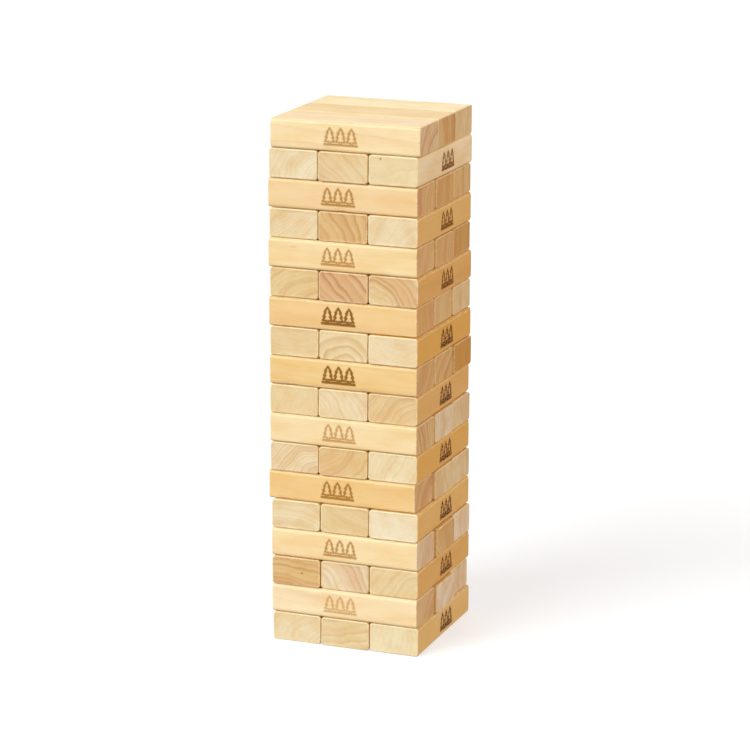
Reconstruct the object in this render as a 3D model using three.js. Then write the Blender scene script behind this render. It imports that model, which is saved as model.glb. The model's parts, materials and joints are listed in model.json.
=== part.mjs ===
// A giant tumbling tower: 54 loose wooden blocks stacked in 18 courses of three.
// Each course runs across the one below it, so long sides and block ends show in turn on every face.
// Units are millimetres and +Z is up. Course 1 is the lowest and its blocks run front to back, along Y.
// The origin is the centre of the tower's footprint, on the ground.
import * as THREE from "three";

// One block: three widths make a length, so a course is as wide as it is long.
const BLOCK_LENGTH = 190;
const BLOCK_WIDTH = 63;
const BLOCK_THICKNESS = 36;
const LONG_EDGE_RADIUS = 3.5; // the four long edges are rounded over
const END_EDGE_EASE = 1.5; // the end faces' edges are only broken
const CORNER_SEGMENTS = 3;

// The stack.
const SIDE_GAP = 0.7; // between neighbours in a course
const COURSE_GAP = 0.2; // hairline between courses
const COURSE_RISE = BLOCK_THICKNESS + COURSE_GAP;

// Wood tones, from the palest sapwood to the most golden heartwood.
const TONES = {
  p: { name: "pale_wood", color: 0xf3dcae },
  w: { name: "warm_wood", color: 0xe8c48d },
  g: { name: "golden_wood", color: 0xdcae6c },
};

// How each course was set down by hand, from the lowest to the top one:
// shift is where its centre stands off the tower's axis in x and y, and turn its twist in degrees;
// proud is how far each of its blocks stands out along its own length, and tones is each block's wood.
// A course along Y lists its blocks from left to right, and a course along X lists them from front to back.
const COURSES = [
  { shift: [3, 0.5], turn: 0.2, proud: [0.4, -0.6, 0.2], tones: "pwp" },
  { shift: [3, -0.4], turn: -0.3, proud: [-0.4, 2.6, -3], tones: "pwp" },
  { shift: [2, 0.6], turn: 0.2, proud: [-0.8, 0.6, 0.3], tones: "gpw" },
  { shift: [2.4, -0.8], turn: -0.1, proud: [-0.5, 2.7, 0.4], tones: "pwp" },
  { shift: [1.8, -1], turn: 0.3, proud: [0.5, 0.9, -0.7], tones: "pwp" },
  { shift: [-0.3, 0.9], turn: -0.3, proud: [-1.6, 2.2, 0.6], tones: "wpp" },
  { shift: [-0.2, 0.4], turn: 0.1, proud: [0.3, -0.5, 0.6], tones: "pwp" },
  { shift: [0.6, -0.5], turn: -0.2, proud: [-0.4, 0.8, 0.2], tones: "pwp" },
  { shift: [-0.9, 0.4], turn: 0.3, proud: [0.6, -0.3, 0.2], tones: "ppw" },
  { shift: [0.2, -0.3], turn: -0.1, proud: [-0.8, -0.2, 1.4], tones: "wpg" },
  { shift: [0.5, -0.7], turn: -0.3, proud: [0.2, 0.7, -0.4], tones: "wpp" },
  { shift: [-1.6, 0.5], turn: 0.2, proud: [-0.6, -0.4, 0.9], tones: "wpp" },
  { shift: [-0.2, 0.1], turn: -0.2, proud: [0.5, -0.4, 0.3], tones: "wgw" },
  { shift: [-1.7, -0.6], turn: 0.3, proud: [-0.8, 0.6, 0.2], tones: "pwg" },
  { shift: [-1.3, 0.3], turn: -0.1, proud: [0.7, 0.2, -0.5], tones: "pgp" },
  { shift: [-1.8, 0.7], turn: 0.2, proud: [-1.1, 0.4, -0.2], tones: "wwp" },
  { shift: [-1, -0.5], turn: -0.3, proud: [0.3, -0.7, 0.4], tones: "pwp" },
  { shift: [0.4, -0.4], turn: 0.1, proud: [0.2, -0.3, -1.5], tones: "pwp" },
];
const PLACES_ALONG_X = ["left", "middle", "right"];
const PLACES_ALONG_Y = ["front", "middle", "back"];

function materials() {
  const made = {};
  for (const [tone, { name, color }] of Object.entries(TONES)) {
    made[tone] = new THREE.MeshStandardMaterial({ name, color, roughness: 0.55, metalness: 0 });
  }
  return made;
}

// The block's cross-section, a rectangle with rounded corners, centred on the origin.
function blockSection() {
  const x = BLOCK_WIDTH / 2 - LONG_EDGE_RADIUS;
  const y = BLOCK_THICKNESS / 2 - LONG_EDGE_RADIUS;
  const quarter = Math.PI / 2;
  const section = new THREE.Shape();
  section.absarc(x, y, LONG_EDGE_RADIUS, 0, quarter);
  section.absarc(-x, y, LONG_EDGE_RADIUS, quarter, 2 * quarter);
  section.absarc(-x, -y, LONG_EDGE_RADIUS, 2 * quarter, 3 * quarter);
  section.absarc(x, -y, LONG_EDGE_RADIUS, 3 * quarter, 4 * quarter);
  section.closePath();
  return section;
}

// One block, lying flat along X with its centre on the origin.
function blockGeometry() {
  const geometry = new THREE.ExtrudeGeometry(blockSection(), {
    depth: BLOCK_LENGTH - 2 * END_EDGE_EASE,
    curveSegments: CORNER_SEGMENTS,
    bevelEnabled: true,
    bevelSegments: 1,
    bevelThickness: END_EDGE_EASE,
    bevelSize: END_EDGE_EASE,
    bevelOffset: -END_EDGE_EASE,
  });
  geometry.center();
  geometry.rotateX(Math.PI / 2);
  geometry.rotateZ(Math.PI / 2);
  return geometry;
}

// One course of three blocks. Odd courses run along Y and even ones along X.
function course(number, { shift, turn, proud, tones }, geometry, finish) {
  const alongX = number % 2 === 0;
  const group = new THREE.Group();
  group.position.set(shift[0], shift[1], (number - 1) * COURSE_RISE + BLOCK_THICKNESS / 2);
  group.rotation.z = THREE.MathUtils.degToRad(turn);
  const places = alongX ? PLACES_ALONG_Y : PLACES_ALONG_X;
  places.forEach((place, i) => {
    const block = new THREE.Mesh(geometry, finish[tones[i]]);
    block.name = `course_${String(number).padStart(2, "0")}_${place}`;
    const across = (i - 1) * (BLOCK_WIDTH + SIDE_GAP);
    block.position.set(alongX ? proud[i] : across, alongX ? across : proud[i], 0);
    block.rotation.z = alongX ? 0 : Math.PI / 2;
    group.add(block);
  });
  return group;
}

function tower() {
  const stack = new THREE.Group();
  const geometry = blockGeometry();
  const finish = materials();
  COURSES.forEach((settings, i) => stack.add(course(i + 1, settings, geometry, finish)));
  return stack;
}

// The stack stands with its footprint's centre on the origin.
const stack = tower();
const footprint = new THREE.Box3().setFromObject(stack, true).getCenter(new THREE.Vector3());
stack.position.set(-footprint.x, -footprint.y, 0);
const group = new THREE.Group();
group.add(stack);

export default group;
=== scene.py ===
"""The looks of a giant tumbling tower: 54 stamped wooden blocks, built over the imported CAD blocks.

Lengths are metres in the CAD frame, except in names that end in _MM and inside a block,
which is worked in millimetres. In a block, u runs along its length, v across its width and w up.
"""
import json
import math
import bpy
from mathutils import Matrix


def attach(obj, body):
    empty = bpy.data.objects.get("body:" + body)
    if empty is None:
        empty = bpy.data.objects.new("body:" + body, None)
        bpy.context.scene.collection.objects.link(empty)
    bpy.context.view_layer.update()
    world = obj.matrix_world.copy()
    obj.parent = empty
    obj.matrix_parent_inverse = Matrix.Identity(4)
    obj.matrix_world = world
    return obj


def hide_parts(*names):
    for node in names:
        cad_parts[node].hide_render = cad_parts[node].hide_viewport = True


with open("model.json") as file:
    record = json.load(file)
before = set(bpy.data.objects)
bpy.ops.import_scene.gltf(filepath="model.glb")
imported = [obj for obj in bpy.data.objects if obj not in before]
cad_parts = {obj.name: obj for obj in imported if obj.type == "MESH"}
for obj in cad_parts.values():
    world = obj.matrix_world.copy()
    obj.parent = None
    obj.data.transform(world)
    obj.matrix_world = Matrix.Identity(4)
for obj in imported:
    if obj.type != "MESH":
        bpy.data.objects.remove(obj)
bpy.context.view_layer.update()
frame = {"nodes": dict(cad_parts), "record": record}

from types import SimpleNamespace

import bpy
import numpy as np
from mathutils import Matrix

MM = 0.001
UP = np.array((0.0, 0.0, 1.0))
QUARTER = math.pi / 2

# The stamped mark: three fir trees on a ground line, in millimetres from the middle of the stamp.
# FIR_MM is half a tree's outline, from its tip to the foot of its trunk.
FIR_MM = [(0, 10.0), (3.7, 4.4), (2.2, 4.4), (5.1, -1.2), (3.1, -1.2), (6.1, -6.2), (1.3, -6.2), (1.3, -9.4)]
FIR_PITCH_MM = 13.8
LINE_MM = 0.8  # half the width of a burnt line
GROUND_HALF_MM = 20.4
GROUND_HEIGHT_MM = -9.6
GROUND_EXTRA_MM = 0.4  # how much thicker the ground line is
MARK_DEPTH_MM = 0.4
MARK_SLOPE_MM = 0.5  # the width of a pressed line's sloping side
MARK_REACH_MM = (23.0, 12.0)  # half the size of the patch that the stamp lies in
MARK_SHIFT_MM = {"x": -5.0, "y": 8.0}  # how far along u the stamp is from the middle, by the course's way

# A course's way is x or y, whichever its blocks run along. They are named from front to back or from left
# to right, and one of them shows its long side in front or at the right.
PLACES = {"x": ("front", "middle", "back"), "y": ("left", "middle", "right")}
SHOWN = {"x": 0, "y": 2}
HIDDEN_BURNS = (0.2, 0.9)  # the range of burns on the other blocks

# How closely the mesh follows a block, in millimetres.
STAMP_STEP_MM = 0.8  # across the stamp
UPRIGHT_STEP_MM = 2  # up the narrow sides, above and below the stamp
LONG_STEP_MM = 5  # along the block and across its wide faces
EDGE_BAND_MM = 2  # from a long edge's rounding to the next line on the wide faces
END_BANDS_MM = (1, 4)  # from an end's rounding to the next two lines
EDGE_FACETS = 5  # round a long edge
END_FACETS = 4  # round an end's edge
CAP_SHARES = (0.97, 0.8, 0.6, 0.4, 0.2)  # the sizes of the rings that close an end

# Hand-finished edges and wear.
EDGE_RADII_MM = (3.1, 4.3)
END_EASES_MM = (1.3, 2.0)
HOLLOWS_MM = ((0.09, 60, 7), (0.03, 14, 9))  # depth, shortest wave and number of waves
KNOCKS = (3, 7)  # on the long edges: at least the first, fewer than the second
KNOCK_REACH = 0.97  # the share of a block's length where they fall
KNOCK_SIZES_MM = (3, 8)
KNOCK_DEPTHS_MM = (0.2, 0.7)

# Each block's wood, as seen on the end that faces the front or the right:
# where the tree's heart lies from the middle of that end (right, up), the width of a growth ring,
# how strongly the rings show, the end's depth of colour, below zero where it is bleached, and pinkness.
HEARTS_MM = {
    "course_17_left": (60, -50, 3.8, 0.55, -0.05, 0.20),
    "course_17_middle": (-70, -60, 8.0, 0.8, 0.12, 0.30),
    "course_17_right": (-40, 150, 8.0, 0.3, 0.25, 0.0),
    "course_15_left": (60, -60, 3.6, 0.7, 0.15, 0.20),
    "course_15_middle": (-80, -50, 10.0, 1.9, 0.48, 0.40),
    "course_15_right": (60, -50, 4.8, 0.5, 0.02, 0.30),
    "course_13_left": (50, -60, 5.6, 1.2, 0.35, 0.0),
    "course_13_middle": (-60, -50, 9.0, 2.4, 0.40, 0.75),
    "course_13_right": (-46, -52, 8.0, 1.7, 0.1, 0.30),
    "course_11_left": (4, -150, 6.0, 0.6, 0.15, 0.15),
    "course_11_middle": (1, -21, 13.0, 1.4, 0.32, 0.05),
    "course_11_right": (12, 96, 6.0, 0.3, 0.05, 0.30),
    "course_09_left": (-90, 20, 6.0, 0.25, 0.42, 0.15),
    "course_09_middle": (-70, -50, 6.0, 0.6, 0.10, 0.30),
    "course_09_right": (52, -58, 8.0, 0.9, 0.35, 0.35),
    "course_07_left": (60, -70, 4.6, 0.9, 0.15, 0.40),
    "course_07_middle": (-60, 70, 7.0, 0.9, 0.50, 0.30),
    "course_07_right": (80, -40, 5.0, 0.45, 0.05, 0.05),
    "course_05_left": (-10, -90, 3.8, 0.8, 0.10, 0.15),
    "course_05_middle": (44, 90, 7.0, 0.6, 0.22, 0.15),
    "course_05_right": (10, 180, 8.0, 0.2, -0.2, 0.15),
    "course_03_left": (-14, -160, 7.5, 1.9, 0.50, 0.40),
    "course_03_middle": (-66, -50, 9.0, 1.3, 0.0, 0.50),
    "course_03_right": (70, -70, 9.0, 0.6, 0.10, 0.10),
    "course_01_left": (60, -60, 6.0, 0.55, 0.05, 0.30),
    "course_01_middle": (-12, 74, 10.0, 0.9, 0.12, 0.15),
    "course_01_right": (-120, 30, 7.0, 0.25, 0.05, 0.10),
    "course_18_front": (50, -60, 7.0, 1.4, -0.1, 0.60),
    "course_18_middle": (-90, -30, 9.0, 1.9, 0.25, 0.10),
    "course_18_back": (-100, 10, 6.0, 0.8, 0.05, 0.10),
    "course_16_front": (90, -10, 11.0, 1.7, 0.45, 0.70),
    "course_16_middle": (-110, 15, 9.0, 1.5, 0.75, 0.50),
    "course_16_back": (100, -5, 5.0, 1.5, 0.50, 0.10),
    "course_14_front": (-90, 60, 8.0, 0.8, 0.60, 0.50),
    "course_14_middle": (120, -10, 6.0, 1.4, 0.60, 0.70),
    "course_14_back": (100, 10, 6.0, 2.0, 0.75, 0.15),
    "course_12_front": (-100, -30, 12.0, 0.9, 0.75, 0.80),
    "course_12_middle": (90, -20, 6.0, 0.9, 0.55, 0.0),
    "course_12_back": (100, 20, 6.0, 0.7, 0.05, 0.20),
    "course_10_front": (-70, 80, 9.0, 1.2, 0.45, 0.20),
    "course_10_middle": (60, -70, 14.0, 1.8, 0.65, 0.70),
    "course_10_back": (90, 10, 6.0, 1.5, 1.15, 0.10),
    "course_08_front": (-110, -25, 8.0, 2.2, 0.40, 0.40),
    "course_08_middle": (110, -10, 6.0, 1.0, -0.75, 0.0),
    "course_08_back": (90, 20, 8.0, 0.8, -0.10, 0.40),
    "course_06_front": (70, -60, 8.0, 1.4, 0.15, 0.50),
    "course_06_middle": (-100, -30, 8.0, 0.8, 0.0, 0.10),
    "course_06_back": (100, 0, 7.0, 0.7, -0.20, 0.10),
    "course_04_front": (70, -50, 8.0, 0.9, -0.6, 0.60),
    "course_04_middle": (-80, -40, 9.0, 1.4, 0.45, 0.10),
    "course_04_back": (90, 10, 7.0, 0.6, -1.0, 0.05),
    "course_02_front": (60, -60, 6.0, 1.5, 0.35, 0.60),
    "course_02_middle": (80, -70, 8.0, 1.0, -1.0, 0.0),
    "course_02_back": (90, 0, 7.0, 1.0, -0.5, 0.10),
}
HEART_TILT = 0.018  # how far a heart leans from a block's length
TRUNK_MM = 4000  # the length of the trunk that a block may be cut from
# Small dark flecks and pin knots that catch the eye, each at u, v and w in its block.
FLECKS_MM = {
    "course_03_left": (-95, -8, -1),
    "course_17_right": (-93.8, 16, 14),
    "course_14_front": (-62, -30, 9),
    "course_16_back": (30, 31.5, -5),
    "course_09_left": (18, 31.5, 6),
}
NO_FLECK_MM = (0, 0, 200)
FLECK_SIZE_MM = 0.9
FLECK_SOFT_MM = 0.5
FLECK_HALO_MM = 2.4
# How deep the colour is on the long sides of each course's three blocks, in the order of PLACES,
# and how darkly the stamp of the block that shows is burnt. Partly painted shade: the long sides and stamps
# that show at the right, in shade, are deeper and darker, and the top course is paler as a painted sheen.
COURSE_LOOKS = {
    18: ((0.0, 0.1, 0.0), 0.38),
    17: ((0.4, 0.3, -0.85), 0.9),
    16: ((0.05, 0.4, 0.5), 0.45),
    15: ((0.3, 0.5, 0.9), 0.9),
    14: ((0.22, 0.5, 0.3), 0.40),
    13: ((0.6, 0.5, 0.9), 0.95),
    12: ((0.48, 0.3, 0.5), 0.85),
    11: ((0.3, 0.6, 1.28), 1.35),
    10: ((0.4, 0.4, 0.3), 0.8),
    9: ((0.5, 0.3, 0.78), 1.25),
    8: ((0.05, 0.5, 0.4), 0.3),
    7: ((0.4, 0.6, 1.17), 1.15),
    6: ((0.55, 0.3, 0.6), 0.55),
    5: ((0.3, 0.5, 0.93), 1.5),
    4: ((0.12, 0.6, 0.4), 0.42),
    3: ((0.8, 0.4, 0.87), 1.0),
    2: ((-0.2, 0.5, 0.3), 0.12),
    1: ((0.4, 0.6, 0.72), 1.3),
}


# --------------------------------------------------------------------------------- block facts
def block_frame(node):
    """A CAD block's centre in metres, its u, v and w directions, and its half sizes in millimetres."""
    mesh = frame["nodes"][node].data
    # Its largest upright face is a narrow long side.
    side = max((p for p in mesh.polygons if abs(p.normal.z) < 0.1), key=lambda p: p.area)
    across = np.array((side.normal.x, side.normal.y, 0.0))
    across /= np.linalg.norm(across)
    along = np.cross(across, UP)
    if along[0] + along[1] < 0:
        along = -along
    axes = np.array([along, np.cross(UP, along), UP])
    local = np.array([v.co for v in mesh.vertices]) @ axes.T
    low, high = local.min(0), local.max(0)
    return (low + high) / 2 @ axes, axes, (high - low) / 2 / MM


# --------------------------------------------------------------------------------- block shape
def spaced(low, high, step):
    """Even steps from low to high, both included, none longer than step."""
    return np.linspace(low, high, max(2, math.ceil((high - low) / step) + 1))


def girth(half, radius):
    """The rounded outline round a block in v and w: inner points, and the outward direction at each."""
    b, c = half[1] - radius, half[2] - radius
    reach = MARK_REACH_MM[1]
    below, above = spaced(-c, -reach, UPRIGHT_STEP_MM), spaced(reach, c, UPRIGHT_STEP_MM)
    upright = np.unique(np.concatenate([below, spaced(-reach, reach, STAMP_STEP_MM), above]))
    level = np.concatenate([[-b], spaced(EDGE_BAND_MM - b, b - EDGE_BAND_MM, LONG_STEP_MM), [b]])
    points, ways = [], []
    for k in range(4):
        out = np.array((round(math.cos(k * QUARTER)), round(math.sin(k * QUARTER))))
        ahead = np.array((-out[1], out[0]))
        run, reach_out = (upright, b) if k % 2 == 0 else (level, c)
        for t in run:
            points.append(out * reach_out + ahead * t)
            ways.append(out)
        for a in np.linspace(0, QUARTER, EDGE_FACETS + 1)[1:-1]:
            points.append(out * reach_out + ahead * run[-1])
            ways.append(out * math.cos(a) + ahead * math.sin(a))
    return np.array(points, float), np.array(ways, float)


def stations(half, ease, shift):
    """Places along a block where its outline is repeated: u, and how far the outline is drawn in there."""
    a, stamp = half[0], MARK_REACH_MM[0] + abs(shift)
    turn = np.linspace(0, QUARTER, END_FACETS + 1)
    end_u, end_in = a - ease + ease * np.cos(turn), ease * (1 - np.sin(turn))
    first, second = END_BANDS_MM
    middle = np.unique(np.concatenate([[first + ease - a, a - ease - first],
                                       spaced(second + ease - a, -stamp, LONG_STEP_MM),
                                       spaced(-stamp, stamp, STAMP_STEP_MM),
                                       spaced(stamp, a - ease - second, LONG_STEP_MM)]))
    u = np.concatenate([-end_u, middle, end_u[::-1]])
    drawn_in = np.concatenate([end_in, np.zeros(len(middle)), end_in[::-1]])
    return u, drawn_in


def block_skin(half, radius, ease, shift):
    """A plain block's points and outward normals in rings along u, ring by ring, and its faces."""
    inner, out = girth(half, radius)
    u, drawn_in = stations(half, ease, shift)
    n, caps = len(inner), len(CAP_SHARES)
    outline = inner[None] + out[None] * (radius - drawn_in)[:, None, None]
    body = np.concatenate([np.repeat(u[:, None, None], n, 1), outline], -1)
    first = [body[0] * (1, s, s) for s in reversed(CAP_SHARES)]
    last = [body[-1] * (1, s, s) for s in CAP_SHARES]
    rings = np.concatenate([first, body, last])
    normals = np.zeros_like(rings)
    normals[caps:-caps, :, 1:] = out
    normals[:caps, :, 0] = -1
    normals[-caps:, :, 0] = 1

    index = np.arange(len(rings) * n).reshape(len(rings), n)
    a, b = index[:-1], index[1:]
    quads = np.stack([a, np.roll(a, -1, 1), np.roll(b, -1, 1), b], -1).reshape(-1, 4)[:, ::-1]
    faces = quads.tolist() + [index[0].tolist(), index[-1][::-1].tolist()]
    return rings.reshape(-1, 3), normals.reshape(-1, 3), faces


def mark_distance(x, y):
    """How far a point of the stamp is from the middle of its nearest line, in millimetres."""
    folded = np.abs(x - FIR_PITCH_MM * np.clip(np.round(x / FIR_PITCH_MM), -1, 1))
    past_end = np.maximum(np.abs(x) - GROUND_HALF_MM, 0)
    best = np.hypot(past_end, y - GROUND_HEIGHT_MM) - GROUND_EXTRA_MM
    for (x0, y0), (x1, y1) in zip(FIR_MM, FIR_MM[1:]):
        t = ((folded - x0) * (x1 - x0) + (y - y0) * (y1 - y0)) / ((x1 - x0) ** 2 + (y1 - y0) ** 2)
        t = np.clip(t, 0, 1)
        best = np.minimum(best, np.hypot(folded - x0 - t * (x1 - x0), y - y0 - t * (y1 - y0)))
    return best


def soft_waves(rng, count, shortest):
    """A smooth random field over a block, between about -1 and 1."""
    ways = rng.normal(size=(count, 3)) * (1.0 / shortest) * (0.35, 1, 1)
    phases = rng.uniform(0, 2 * math.pi, count)
    return lambda p: np.sin(p @ ways.T * 2 * math.pi + phases).mean(-1) * 1.6


def worn(points, normals, mark, half, rng):
    """The points of a plain block with its stamps pressed in, slight hollows and knocked edges."""
    narrow = np.abs(normals[:, 1]) > 0.99
    pressed = (LINE_MM + MARK_SLOPE_MM / 2 - mark_distance(mark[:, 0], mark[:, 1])) / MARK_SLOPE_MM
    depth = np.clip(pressed, 0, 1) * narrow * MARK_DEPTH_MM
    hollow = sum(deep * (1 + soft_waves(rng, count, wave)(points)) for deep, wave, count in HOLLOWS_MM)
    shaped = points - normals * (depth + hollow)[:, None]
    for _ in range(rng.integers(*KNOCKS)):
        knock = half * (rng.uniform(-KNOCK_REACH, KNOCK_REACH), rng.choice((-1, 1)), rng.choice((-1, 1)))
        size, deep = rng.uniform(*KNOCK_SIZES_MM), rng.uniform(*KNOCK_DEPTHS_MM)
        near = np.exp(-((points - knock) ** 2).sum(1) / size ** 2)
        shaped -= normals * (deep * near)[:, None]
    return shaped


def store(mesh, name, values):
    """Keep three numbers on each vertex for the material, or the same three on them all."""
    values = np.broadcast_to(values, (len(mesh.vertices), 3)).astype(np.float32)
    mesh.attributes.new(name, "FLOAT_VECTOR", "POINT").data.foreach_set("vector", values.ravel())


def block_mesh(node, shift, burn, side_depth, rng):
    """One block's mesh in the CAD frame, with what its material reads stored on its vertices."""
    centre, axes, half = block_frame(node)
    radius, ease = rng.uniform(*EDGE_RADII_MM), rng.uniform(*END_EASES_MM)
    points, normals, faces = block_skin(half, radius, ease, shift)
    mark = np.stack([points[:, 0] + shift * np.where(points[:, 1] > 0, 1, -1), points[:, 2],
                     np.full(len(points), burn)], -1)
    shaped = worn(points, normals, mark, half, rng)
    mesh = bpy.data.meshes.new(node + "_looks")
    mesh.from_pydata((centre + shaped * MM @ axes).tolist(), [], faces)
    mesh.shade_smooth()

    right, high, spacing, strength, end_depth, pinkness = HEARTS_MM[node]
    along_x = abs(axes[0, 0]) > 0.5
    tilt = rng.normal(0, HEART_TILT, 2)
    height = rng.uniform(0, TRUNK_MM)
    tree = np.stack([points[:, 1] - (right if along_x else -right) + tilt[0] * points[:, 0],
                     points[:, 2] - high + tilt[1] * points[:, 0], points[:, 0] + height], -1)
    store(mesh, "tree_co", tree)
    store(mesh, "block_co", points)
    store(mesh, "mark_co", mark)
    store(mesh, "wood", (spacing, strength, end_depth))
    store(mesh, "fleck_co", points - np.array(FLECKS_MM.get(node, NO_FLECK_MM)))
    store(mesh, "tint_and_shade", (pinkness, rng.uniform(), side_depth))
    return mesh


# --------------------------------------------------------------------------------- wood material
def srgb(code):
    """A linear colour from a hexadecimal sRGB one."""
    values = [int(code[i:i + 2], 16) / 255 for i in (0, 2, 4)]
    return tuple(v / 12.92 if v <= 0.04045 else ((v + 0.055) / 1.055) ** 2.4 for v in values) + (1.0,)


# Each wood's early wood and its darkest tone.
WOODS = {
    "pale_wood": ("f7e5ba", "e7b65e"),
    "warm_wood": ("f2dba8", "e3ac55"),
    "golden_wood": ("edd094", "daa148"),
}
PINK_WOOD = srgb("f2d3ae")
BLEACHED_WOOD = srgb("fff4df")
RING_BAND, PINK_RING_BAND = srgb("dba866"), srgb("dd9f7c")
LATE_WOOD, PINK_LATE_WOOD = srgb("bd7f3e"), srgb("c07a54")
STREAK = srgb("cf9a58")
DRY_END = (0.91, 0.94, 1.05, 1.0)  # multiplies the colour of an end
# How a heart wanders: waves per millimetre across and along the trunk, and how far it moves in millimetres.
WANDERS = ((0.016, 0.0028, 34.0), (0.09, 0.012, 3.2))
HALF_GREY = (0.5, 0.5, 0.5)
END_BLEND_MM = (1.4, 0.3)  # how far from its end a block begins to look cut across, and how far it fully does
# How far from an edge its pale wear and painted highlight, and the painted joint shade, fade out, and how far
# they are full.
RIM_HIGHLIGHT_MM = (1.9, 0.5)
EDGE_HIGHLIGHT_MM = (4.2, 2.4)
JOINT_SHADE_MM = (1.7, 1.0)
PORE = srgb("a8794a")
SAW_MARK = srgb("b58657")
FLECK_HALO, FLECK = srgb("b0702e"), srgb("2e1608")
# Pale rims and long edges, partly wear and partly painted highlight; painted shade for the joints between
# courses.
RIM_WEAR_AND_HIGHLIGHT, EDGE_WEAR_AND_HIGHLIGHT, JOINT_SHADE = srgb("fdecc8"), srgb("fbe3b4"), srgb("6e3f1a")
FAINT_CHAR, CHAR, DEEP_CHAR = srgb("bd7f22"), srgb("361002"), srgb("280602")
SCORCH, DEEP_SCORCH = srgb("c0862a"), srgb("a85c3c")
DEEP_BURNS = (0.85, 1.1)  # the burns at which a stamp begins to turn deep, and is
HALO_MM = 1.6  # how far the scorch reaches beyond a line
LINE_SOFT_MM = 0.22
BURN_SPREAD_MM = 0.7  # how much wider the darkest stamps' lines are
RAGGED_MM = 0.5
RELIEF_STRENGTH = 0.55
RELIEF_HEIGHT = 0.00022  # in metres


class Graph:
    """Writes shader nodes as nested calls. A call returns an output of the new node, mostly the first."""

    def __init__(self, tree):
        self.tree = tree

    def node(self, kind, inputs=(), output=0, **settings):
        made = self.tree.nodes.new(kind)
        for name, value in settings.items():
            setattr(made, name, value)
        for key, value in dict(inputs).items():
            if isinstance(value, bpy.types.NodeSocket):
                self.tree.links.new(value, made.inputs[key])
            else:
                made.inputs[key].default_value = value
        return made.outputs[output]

    def math(self, operation, *values):
        return self.node("ShaderNodeMath", enumerate(values), operation=operation)

    def times(self, a, b):
        return self.math("MULTIPLY", a, b)

    def vector(self, operation, *values, output=0):
        return self.node("ShaderNodeVectorMath", enumerate(values), output, operation=operation)

    def stretch(self, vector, x, y, z):
        return self.vector("MULTIPLY", vector, (x, y, z))

    def join(self, x, y, z):
        return self.node("ShaderNodeCombineXYZ", enumerate((x, y, z)))

    def parts(self, vector):
        """A vector's three numbers."""
        made = self.tree.nodes.new("ShaderNodeSeparateXYZ")
        self.tree.links.new(vector, made.inputs[0])
        return list(made.outputs)

    def attribute(self, name):
        return self.node("ShaderNodeAttribute", output="Vector", attribute_name=name)

    def noise(self, vector, scale=1.0, detail=2.0, rough=0.5, output=0):
        inputs = {"Vector": vector, "Scale": scale, "Detail": detail, "Roughness": rough}
        return self.node("ShaderNodeTexNoise", inputs, output)

    def ramp(self, value, low, high, to_low=0.0, to_high=1.0):
        """A smooth step of value between low and high."""
        inputs = enumerate((value, low, high, to_low, to_high))
        return self.node("ShaderNodeMapRange", inputs, interpolation_type="SMOOTHSTEP")

    def between(self, share, a, b):
        """A number between a and b."""
        return self.node("ShaderNodeMix", {0: share, 2: a, 3: b}, data_type="FLOAT")

    def mix(self, share, a, b, blend="MIX"):
        """A colour between a and b."""
        return self.node("ShaderNodeMix", {0: share, 6: a, 7: b}, 2, data_type="RGBA", blend_type=blend)


def read_block(g, half):
    """What a block's mesh says at a point."""
    at = SimpleNamespace()
    at.tree, at.block, at.mark = g.attribute("tree_co"), g.attribute("block_co"), g.attribute("mark_co")
    at.spacing, at.strength, at.end_depth = g.parts(g.attribute("wood"))
    at.pinkness, at.chance, at.side_depth = g.parts(g.attribute("tint_and_shade"))
    at.burn = g.parts(at.mark)[2]
    # What cuts across the fibres shows their ends.
    low, high = (half[0] - inset for inset in END_BLEND_MM)
    at.end = g.ramp(g.math("ABSOLUTE", g.parts(at.block)[0]), low, high)
    return at


def growth_rings(g, at):
    """Rings round a wandering heart: the late wood at a point, and broad bands of darker rings."""
    moves = []
    for across, along, reach in WANDERS:
        field = g.noise(g.stretch(at.tree, across, across, along), output=1)
        moves.append(g.stretch(g.vector("SUBTRACT", field, HALF_GREY), reach, reach, 0.0))
    x, y, _ = g.parts(g.vector("ADD", at.tree, g.vector("ADD", *moves)))
    radius = g.math("SQRT", g.math("ADD", g.math("POWER", x, 2.0), g.math("POWER", y, 2.0)))
    rings = g.math("DIVIDE", radius, at.spacing)
    uneven = g.noise(g.join(g.times(rings, 0.6), at.chance, 0.0), detail=1.0)
    rings = g.math("ADD", rings, g.times(uneven, 1.6))
    phase = g.math("FRACT", rings)
    ring_number = g.math("ADD", g.math("FLOOR", rings), g.times(at.chance, 57.0))
    each = g.node("ShaderNodeTexWhiteNoise", {"W": ring_number}, noise_dimensions="1D")
    late = g.times(g.math("POWER", phase, 1.8), g.ramp(phase, 1.0, 0.78))
    late = g.times(late, g.ramp(each, 0.0, 1.0, 0.25, 1.0))
    broad = g.noise(g.join(g.times(rings, 0.33), at.chance, 3.0))
    return late, broad


def grain(g, at):
    """Streaks and fibres that run along the block, clouds in it, and pores and tool marks on its ends."""
    return SimpleNamespace(
        streak=g.noise(g.stretch(at.tree, 1.6, 1.6, 0.022), detail=3.0, rough=0.6),
        fibre=g.noise(g.stretch(at.tree, 5.0, 5.0, 0.06), rough=0.6),
        cloud=g.noise(g.stretch(at.tree, 0.05, 0.05, 0.016), detail=3.0, rough=0.55),
        pores=g.noise(g.stretch(at.tree, 3.2, 3.2, 0.4), detail=3.0, rough=0.65),
        saw=g.noise(g.stretch(at.block, 0.0, 0.12, 1.9), rough=0.6),
        sanding=g.noise(g.stretch(at.block, 0.0, 1.7, 0.1), rough=0.6),
    )


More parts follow.
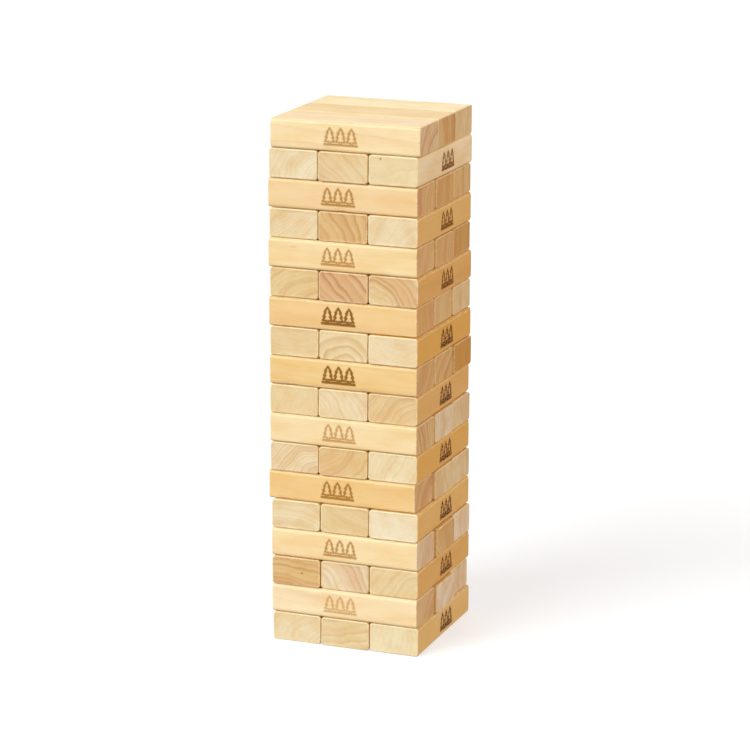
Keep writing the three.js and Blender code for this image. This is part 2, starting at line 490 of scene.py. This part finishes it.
def bare_wood(g, at, look, late, broad, pale, deep):
    """The colour of early and late wood, clouds and streaks, and of the drier ends."""
    colour = g.mix(g.times(at.pinkness, 0.7), pale, PINK_WOOD)
    # The long sides' depth is partly painted shade, deeper on those that show at the right.
    depth = g.between(at.end, at.side_depth, at.end_depth)
    colour = g.mix(g.times(depth, 0.75), colour, deep)
    colour = g.mix(g.times(depth, -1.0), colour, BLEACHED_WOOD)
    colour = g.mix(g.ramp(look.cloud, 0.35, 0.75, 0.0, 0.35), colour, deep)
    band = g.times(g.times(g.ramp(broad, 0.45, 0.75), at.strength), g.ramp(at.end, 0.0, 1.0, 0.10, 0.48))
    colour = g.mix(band, colour, g.mix(at.pinkness, RING_BAND, PINK_RING_BAND))
    ring = g.times(g.times(late, at.strength), g.ramp(at.end, 0.0, 1.0, 0.17, 0.50))
    colour = g.mix(ring, colour, g.mix(at.pinkness, LATE_WOOD, PINK_LATE_WOOD))
    colour = g.mix(g.ramp(look.streak, 0.5, 0.8, 0.0, 0.22), colour, STREAK)
    shade = g.node("ShaderNodeCombineColor", enumerate([g.ramp(look.fibre, 0.25, 0.75, 0.955, 1.03)] * 3))
    colour = g.mix(1.0, colour, shade, "MULTIPLY")

    # Ends drink the finish: they are duller, greyer and speckled with pores.
    end_colour = g.mix(1.0, colour, DRY_END, "MULTIPLY")
    end_colour = g.mix(g.ramp(look.pores, 0.56, 0.74, 0.0, 0.22), end_colour, PORE)
    end_colour = g.mix(g.ramp(look.saw, 0.5, 0.75, 0.0, 0.14), end_colour, SAW_MARK)
    end_colour = g.mix(g.ramp(look.sanding, 0.5, 0.75, 0.0, 0.12), end_colour, SAW_MARK)
    return g.mix(at.end, colour, end_colour)


def flecked(g, at, colour):
    """A dark fleck or pin knot on a few blocks, drawn out along the fibres."""
    away = g.vector("LENGTH", g.stretch(g.attribute("fleck_co"), 0.35, 1.0, 1.0), output=1)
    away = g.math("ADD", away, g.times(g.noise(at.block, 1.1), 0.8))
    colour = g.mix(g.ramp(away, FLECK_SIZE_MM + FLECK_HALO_MM, FLECK_SIZE_MM, 0.0, 0.35), colour, FLECK_HALO)
    return g.mix(g.ramp(away, FLECK_SIZE_MM + FLECK_SOFT_MM, FLECK_SIZE_MM), colour, FLECK)


def edge_wear_highlight_and_shade(g, at, colour, half):
    """Pale edges, partly wear from handling and partly painted highlight, and painted shade in the joints
    along the long ones.
    """
    inset = [g.math("SUBTRACT", h, g.math("ABSOLUTE", part)) for h, part in zip(half, g.parts(at.block))]
    to_end, to_side, to_face = inset
    rim = g.math("MAXIMUM", to_end, g.math("MINIMUM", to_side, to_face))
    long_edge = g.math("MAXIMUM", to_side, to_face)
    edge_patches = g.noise(g.stretch(at.block, 0.08, 0.3, 0.3), detail=3.0, rough=0.6)
    # Painted highlight on the ends' rounded rims, partly pale wear.
    share = g.times(g.ramp(rim, *RIM_HIGHLIGHT_MM), g.ramp(edge_patches, 0.35, 0.65, 0.25, 0.75))
    colour = g.mix(share, colour, RIM_WEAR_AND_HIGHLIGHT)
    # Painted highlight on the rounded long edges, partly pale wear.
    share = g.times(g.ramp(long_edge, *EDGE_HIGHLIGHT_MM), g.ramp(edge_patches, 0.4, 0.7, 0.15, 0.5))
    colour = g.mix(share, colour, EDGE_WEAR_AND_HIGHLIGHT)
    # Painted shade along the middle of the long edges, darkening the joints between blocks.
    share = g.times(g.ramp(long_edge, *JOINT_SHADE_MM), g.ramp(edge_patches, 0.3, 0.7, 0.55, 0.15))
    return g.mix(share, colour, JOINT_SHADE)


def stamp_lines(g, mark):
    """The distance from the stamp's nearest line, in millimetres, as mark_distance gives it."""
    x, y, _ = g.parts(mark)
    cell = g.math("MINIMUM", g.math("MAXIMUM", g.math("ROUND", g.math("DIVIDE", x, FIR_PITCH_MM)), -1.0), 1.0)
    folded = g.math("ABSOLUTE", g.math("SUBTRACT", x, g.times(cell, FIR_PITCH_MM)))
    place = g.join(folded, y, 0.0)
    past_end = g.math("MAXIMUM", g.math("SUBTRACT", g.math("ABSOLUTE", x), GROUND_HALF_MM), 0.0)
    ground = g.vector("LENGTH", g.join(past_end, g.math("SUBTRACT", y, GROUND_HEIGHT_MM), 0.0), output=1)
    best = g.math("SUBTRACT", ground, GROUND_EXTRA_MM)
    for (x0, y0), (x1, y1) in zip(FIR_MM, FIR_MM[1:]):
        length = math.hypot(x1 - x0, y1 - y0)
        way = ((x1 - x0) / length, (y1 - y0) / length, 0.0)
        offset = g.vector("SUBTRACT", place, (x0, y0, 0.0))
        run = g.vector("DOT_PRODUCT", offset, way, output=1)
        run = g.math("MINIMUM", g.math("MAXIMUM", run, 0.0), length)
        foot = g.node("ShaderNodeVectorMath", {0: way, 3: run}, operation="SCALE")
        best = g.math("MINIMUM", best, g.vector("LENGTH", g.vector("SUBTRACT", offset, foot), output=1))
    return best


def stamped(g, at, colour):
    """The burnt stamp with its scorched halo: the colour with it, and how much of it is at a point."""
    ragged = g.times(g.math("SUBTRACT", g.noise(at.block, 1.4, 3.0, 0.6), 0.5), RAGGED_MM)
    distance = g.math("ADD", stamp_lines(g, at.mark), ragged)
    distance = g.math("SUBTRACT", distance, g.ramp(at.burn, 0.0, 1.4, 0.0, BURN_SPREAD_MM))
    halo = g.times(g.ramp(distance, LINE_MM + HALO_MM, LINE_MM), g.ramp(at.burn, 0.0, 1.0, 0.28, 0.38))
    colour = g.mix(halo, colour, g.mix(g.ramp(at.burn, *DEEP_BURNS), SCORCH, DEEP_SCORCH))

    patches = g.noise(g.stretch(at.block, 0.35, 0.6, 0.6))
    patchy = g.ramp(patches, 0.38, 0.6, g.ramp(at.burn, *DEEP_BURNS, 0.8, 0.3), 1.0)
    cover = g.times(patchy, g.ramp(at.burn, 0.0, 0.8, 0.45, 1.0))
    line = g.times(g.ramp(distance, LINE_MM + LINE_SOFT_MM, LINE_MM - LINE_SOFT_MM), cover)
    char = g.mix(g.times(at.burn, 0.72), FAINT_CHAR, CHAR)
    char = g.mix(g.ramp(at.burn, 0.85, 1.2), char, DEEP_CHAR)
    return g.mix(line, colour, char), line


def relief(g, at, look, late, line):
    """Raised late wood, fibres along the sides, tool marks and pores on the ends, and the sunken stamp."""
    along = g.math("ADD", g.times(look.fibre, 0.5), g.times(look.streak, 0.6))
    across = g.math("ADD", g.times(look.pores, -0.7), g.times(look.saw, -0.6))
    height = g.between(at.end, along, across)
    height = g.math("ADD", height, g.times(late, 0.35))
    height = g.math("SUBTRACT", height, g.times(line, 0.8))
    inputs = {"Strength": RELIEF_STRENGTH, "Distance": RELIEF_HEIGHT, "Height": height}
    return g.node("ShaderNodeBump", inputs)


def wood_material(name, pale, deep, half):
    """Sanded, lightly sealed wood. pale and deep are its early wood and its darkest tone."""
    material = bpy.data.materials.new(name)
    material.use_nodes = True
    tree = material.node_tree
    shader = tree.nodes["Principled BSDF"]
    g = Graph(tree)
    at = read_block(g, half)
    late, broad = growth_rings(g, at)
    look = grain(g, at)
    colour = bare_wood(g, at, look, late, broad, srgb(pale), srgb(deep))
    colour = flecked(g, at, colour)
    colour = edge_wear_highlight_and_shade(g, at, colour, half)
    colour, line = stamped(g, at, colour)
    tree.links.new(colour, shader.inputs["Base Color"])

    # The sheen of a thin sealer is duller on the ends and in the stamp.
    rough = g.math("ADD", g.ramp(look.streak, 0.3, 0.7, 0.40, 0.54), g.times(at.end, 0.16))
    rough = g.math("ADD", rough, g.times(line, 0.2))
    tree.links.new(rough, shader.inputs["Roughness"])
    shader.inputs["Specular IOR Level"].default_value = 0.2
    tree.links.new(relief(g, at, look, late, line), shader.inputs["Normal"])
    return material


# --------------------------------------------------------------------------------- the tower
def tower():
    """Every block's looks, each on its own CAD body."""
    half = block_frame("course_01_middle")[2]  # the blocks are all the same size
    woods = {name: wood_material(name, pale, deep, half) for name, (pale, deep) in WOODS.items()}
    slots = {row["node"]: row["material_slot"] for row in frame["record"]["subparts"]}
    for number, node in enumerate(sorted(frame["nodes"])):
        rng = np.random.default_rng(number)
        course = int(node.split("_")[1])
        way = "x" if course % 2 == 0 else "y"
        place = PLACES[way].index(node.split("_")[2])
        # The side depths and the shown stamp's burn are partly painted shade on the right-facing sides.
        side_depths, burn = COURSE_LOOKS[course]
        if place != SHOWN[way]:
            burn = rng.uniform(*HIDDEN_BURNS)
        mesh = block_mesh(node, MARK_SHIFT_MM[way], burn, side_depths[place], rng)
        mesh.materials.append(woods[slots[node]])
        block = bpy.data.objects.new(node + "_looks", mesh)
        bpy.context.scene.collection.objects.link(block)
        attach(block, node)
        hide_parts(node)


# --------------------------------------------------------------------------------- floor, light, camera
STUDIO_REACH = 20.0
STUDIO_HEIGHT = 15.0
STUDIO_SIDES = 48
FLOOR_GLOW = 0.58
WALL_GLOW = 1.0
STUDIO_COLOUR = (0.5, 0.5, 0.5, 1)
GLOW_COLOUR = (0.96, 0.97, 1, 1)
# Each light's azimuth, from the front towards +X, its elevation, strength, width and colour.
# Its angles are in degrees.
SUNS = {
    "key": (-30, 30, 2.89, 40, (0.90, 1.0, 1.0)),
    "fill": (75, 20, 1.53, 60, (1.0, 0.77, 0.505)),
    "overhead": (0, 90, 0.38, 60, (0.3, 0.55, 1.0)),
    "back": (200, 12, 0.9, 60, (1.0, 0.95, 0.88)),
}
SKY_COLOUR = (1.0, 0.88, 0.75, 1)
SKY_STRENGTH = 0.36
# The camera's place in metres, and its azimuth from the front towards +X, pitch down and roll in radians.
CAMERA_PLACE = (1.2944, -3.3921, 1.2353)
AZIMUTH, PITCH, ROLL = 0.3637, 0.2461, 0.0060
LENS_MM = 146.1
SENSOR_MM = 36


def stage(name, corners, faces, glow):
    """A pale, softly glowing surface that takes no part in lighting the tower."""
    mesh = bpy.data.meshes.new(name)
    mesh.from_pydata(corners, [], faces)
    surface = bpy.data.objects.new(name, mesh)
    bpy.context.scene.collection.objects.link(surface)
    material = bpy.data.materials.new(name)
    material.use_nodes = True
    shader = material.node_tree.nodes["Principled BSDF"]
    shader.inputs["Base Color"].default_value = STUDIO_COLOUR
    shader.inputs["Roughness"].default_value = 0.9
    shader.inputs["Specular IOR Level"].default_value = 0.0
    shader.inputs["Emission Color"].default_value = GLOW_COLOUR
    shader.inputs["Emission Strength"].default_value = glow
    surface.visible_diffuse = False
    surface.visible_glossy = False
    mesh.materials.append(material)
    return surface


def plain_studio():
    """A flat floor, and a round wall behind it that lets the lights through."""
    turns = [k * 2 * math.pi / STUDIO_SIDES for k in range(STUDIO_SIDES)]
    rim = [(STUDIO_REACH * math.cos(turn), STUDIO_REACH * math.sin(turn)) for turn in turns]
    stage("floor", [(x, y, 0) for x, y in rim], [range(STUDIO_SIDES)], FLOOR_GLOW)
    nexts = [(k + 1) % STUDIO_SIDES for k in range(STUDIO_SIDES)]
    wall = stage("backdrop", [(x, y, z) for z in (0, STUDIO_HEIGHT) for x, y in rim],
                 [(k, n, n + STUDIO_SIDES, k + STUDIO_SIDES) for k, n in enumerate(nexts)], WALL_GLOW)
    wall.visible_shadow = False


def sun(name, azimuth, elevation, strength, width, colour):
    """A soft, distant light."""
    light = bpy.data.lights.new(name, "SUN")
    light.energy = strength
    light.angle = math.radians(width)
    light.color = colour
    lamp = bpy.data.objects.new(name, light)
    lamp.rotation_euler = (math.radians(90 - elevation), 0, math.radians(azimuth))
    bpy.context.scene.collection.objects.link(lamp)


def sky():
    """A little light from all round."""
    world = bpy.data.worlds.new("studio")
    world.use_nodes = True
    background = world.node_tree.nodes["Background"]
    background.inputs["Color"].default_value = SKY_COLOUR
    background.inputs["Strength"].default_value = SKY_STRENGTH
    bpy.context.scene.world = world


def camera():
    """The view from the front, a little to the right and above, with a long lens."""
    lens = bpy.data.cameras.new("camera")
    lens.sensor_width = SENSOR_MM
    lens.lens = LENS_MM
    eye = bpy.data.objects.new("camera", lens)
    aim = Matrix.Rotation(AZIMUTH, 4, "Z") @ Matrix.Rotation(QUARTER - PITCH, 4, "X")
    eye.matrix_world = Matrix.Translation(CAMERA_PLACE) @ aim @ Matrix.Rotation(ROLL, 4, "Z")
    bpy.context.scene.collection.objects.link(eye)
    bpy.context.scene.camera = eye


tower()
plain_studio()
for name, settings in SUNS.items():
    sun(name, *settings)
sky()
camera()
bpy.context.scene.view_settings.view_transform = "Standard"
